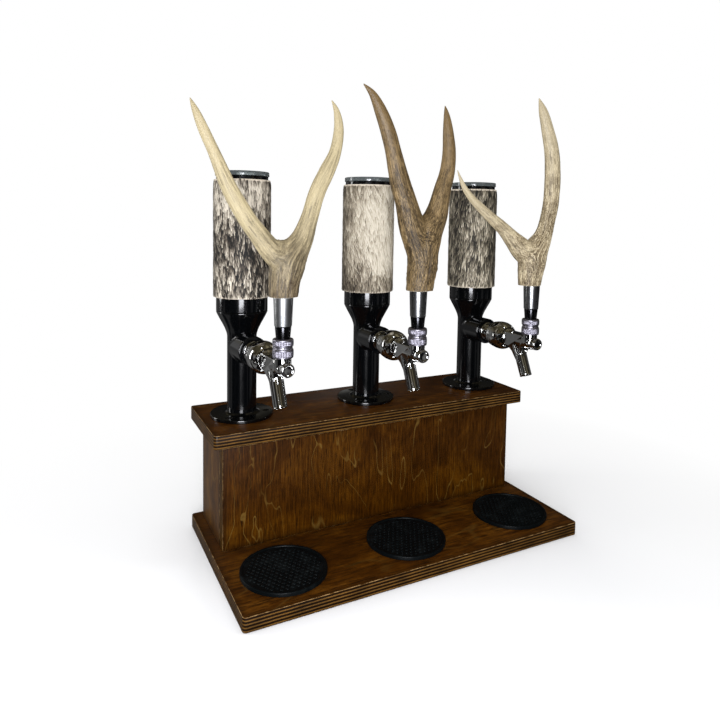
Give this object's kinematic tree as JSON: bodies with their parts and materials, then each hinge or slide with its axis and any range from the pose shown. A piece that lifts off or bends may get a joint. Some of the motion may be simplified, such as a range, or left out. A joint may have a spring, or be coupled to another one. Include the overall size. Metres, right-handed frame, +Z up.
{
  "type": "beer tap tower",
  "caption": "Free-standing drinks dispenser: flanged columns with hide-wrapped reservoirs, chrome faucets and forked antler handles on a plywood riser stand with round rubber mats.",
  "frame": {"origin": "middle of the base board's underside", "axes": "+Z up, -Y towards the front where the spouts and mats are, +X to the right of someone facing the front"},
  "size_m": [0.5701, 0.28, 0.6613],
  "materials": {
    "plywood": "walnut-stained birch plywood under satin varnish, laminated edges showing",
    "rubber": "matt black rubber with a field of small raised studs",
    "black_paint": "glossy black powder coat",
    "hide": "hair-on hide, speckled cream, grey and dark brown hair lying downwards",
    "smoked_plastic": "smoked translucent plastic",
    "seal_rubber": "soft grey silicone",
    "feed_tube": "milky food-grade tube",
    "chrome": "polished chrome plate",
    "steel": "turned stainless steel",
    "antler": "natural antler, grooved tan beam fading to ivory tips"
  },
  "bodies": {
    "stand": {"base_board": "plywood", "top_board": "plywood", "riser_front_panel": "plywood", "riser_left_panel": "plywood", "riser_right_panel": "plywood", "riser_back_panel": "plywood", "tower_flange_1": "black_paint", "tower_column_1": "black_paint", "reservoir_1": "black_paint", "hide_sleeve_1": "hide", "feed_tube_1": "feed_tube", "shank_1": "chrome", "coupling_nut_1": "chrome", "faucet_body_1": "chrome", "bonnet_nut_1": "chrome", "tower_flange_2": "black_paint", "tower_column_2": "black_paint", "reservoir_2": "black_paint", "hide_sleeve_2": "hide", "feed_tube_2": "feed_tube", "shank_2": "chrome", "coupling_nut_2": "chrome", "faucet_body_2": "chrome", "bonnet_nut_2": "chrome", "tower_flange_3": "black_paint", "tower_column_3": "black_paint", "reservoir_3": "black_paint", "hide_sleeve_3": "hide", "feed_tube_3": "feed_tube", "shank_3": "chrome", "coupling_nut_3": "chrome", "faucet_body_3": "chrome", "bonnet_nut_3": "chrome"},
    "handle_1": {"lever_1": "steel", "lever_collar_1": "chrome", "handle_ferrule_1": "chrome", "antler_handle_1": "antler"},
    "valve_1": {"valve_shaft_1": "steel"},
    "lid_assembly_1": {"lid_1": "smoked_plastic", "lid_gasket_1": "seal_rubber"},
    "slider_tab_1": {"lid_slider_1": "smoked_plastic"},
    "loose_mat_1": {"mat_1": "rubber"},
    "handle_2": {"lever_2": "steel", "lever_collar_2": "chrome", "handle_ferrule_2": "chrome", "antler_handle_2": "antler"},
    "valve_2": {"valve_shaft_2": "steel"},
    "lid_assembly_2": {"lid_2": "smoked_plastic", "lid_gasket_2": "seal_rubber"},
    "slider_tab_2": {"lid_slider_2": "smoked_plastic"},
    "loose_mat_2": {"mat_2": "rubber"},
    "handle_3": {"lever_3": "steel", "lever_collar_3": "chrome", "handle_ferrule_3": "chrome", "antler_handle_3": "antler"},
    "valve_3": {"valve_shaft_3": "steel"},
    "lid_assembly_3": {"lid_3": "smoked_plastic", "lid_gasket_3": "seal_rubber"},
    "slider_tab_3": {"lid_slider_3": "smoked_plastic"},
    "loose_mat_3": {"mat_3": "rubber"}
  },
  "joints": [
    {"name": "handle_tilt_1", "type": "hinge", "parent": "stand", "child": "handle_1", "pos_m": [-0.19444, -0.08429, 0.306], "axis": [0.9986, 0.0523, 0], "range_deg": [0, 30]},
    {"name": "valve_slide_1", "type": "slide", "parent": "stand", "child": "valve_1", "axis": [-0.0523, 0.9986, 0], "range_m": [0, 0.0082]},
    {"name": "lid_lift_1", "type": "slide", "parent": "stand", "child": "lid_assembly_1", "axis": [0, 0, 1], "range_m": [0, 0.05]},
    {"name": "lid_slider_slide_1", "type": "slide", "parent": "lid_assembly_1", "child": "slider_tab_1", "axis": [-1, 0, 0], "range_m": [0, 0.016]},
    {"name": "mat_lift_1", "type": "slide", "parent": "stand", "child": "loose_mat_1", "axis": [0, 0, 1], "range_m": [0, 0.05]},
    {"name": "handle_tilt_2", "type": "hinge", "parent": "stand", "child": "handle_2", "pos_m": [0.0011, -0.0845, 0.306], "axis": [1, 0, 0], "range_deg": [0, 30]},
    {"name": "valve_slide_2", "type": "slide", "parent": "stand", "child": "valve_2", "axis": [0, 1, 0], "range_m": [0, 0.0082]},
    {"name": "lid_lift_2", "type": "slide", "parent": "stand", "child": "lid_assembly_2", "axis": [0, 0, 1], "range_m": [0, 0.05]},
    {"name": "lid_slider_slide_2", "type": "slide", "parent": "lid_assembly_2", "child": "slider_tab_2", "axis": [-1, 0, 0], "range_m": [0, 0.016]},
    {"name": "mat_lift_2", "type": "slide", "parent": "stand", "child": "loose_mat_2", "axis": [0, 0, 1], "range_m": [0, 0.05]},
    {"name": "handle_tilt_3", "type": "hinge", "parent": "stand", "child": "handle_3", "pos_m": [0.2046, -0.0845, 0.306], "axis": [1, 0, 0], "range_deg": [0, 30]},
    {"name": "valve_slide_3", "type": "slide", "parent": "stand", "child": "valve_3", "axis": [0, 1, 0], "range_m": [0, 0.0082]},
    {"name": "lid_lift_3", "type": "slide", "parent": "stand", "child": "lid_assembly_3", "axis": [0, 0, 1], "range_m": [0, 0.05]},
    {"name": "lid_slider_slide_3", "type": "slide", "parent": "lid_assembly_3", "child": "slider_tab_3", "axis": [-1, 0, 0], "range_m": [0, 0.016]},
    {"name": "mat_lift_3", "type": "slide", "parent": "stand", "child": "loose_mat_3", "axis": [0, 0, 1], "range_m": [0, 0.05]}
  ],
  "couplings": [
    {"joint": "valve_slide_1", "follows": "handle_tilt_1", "m_per_rad": 0.0155},
    {"joint": "valve_slide_2", "follows": "handle_tilt_2", "m_per_rad": 0.0155},
    {"joint": "valve_slide_3", "follows": "handle_tilt_3", "m_per_rad": 0.0155}
  ]
}
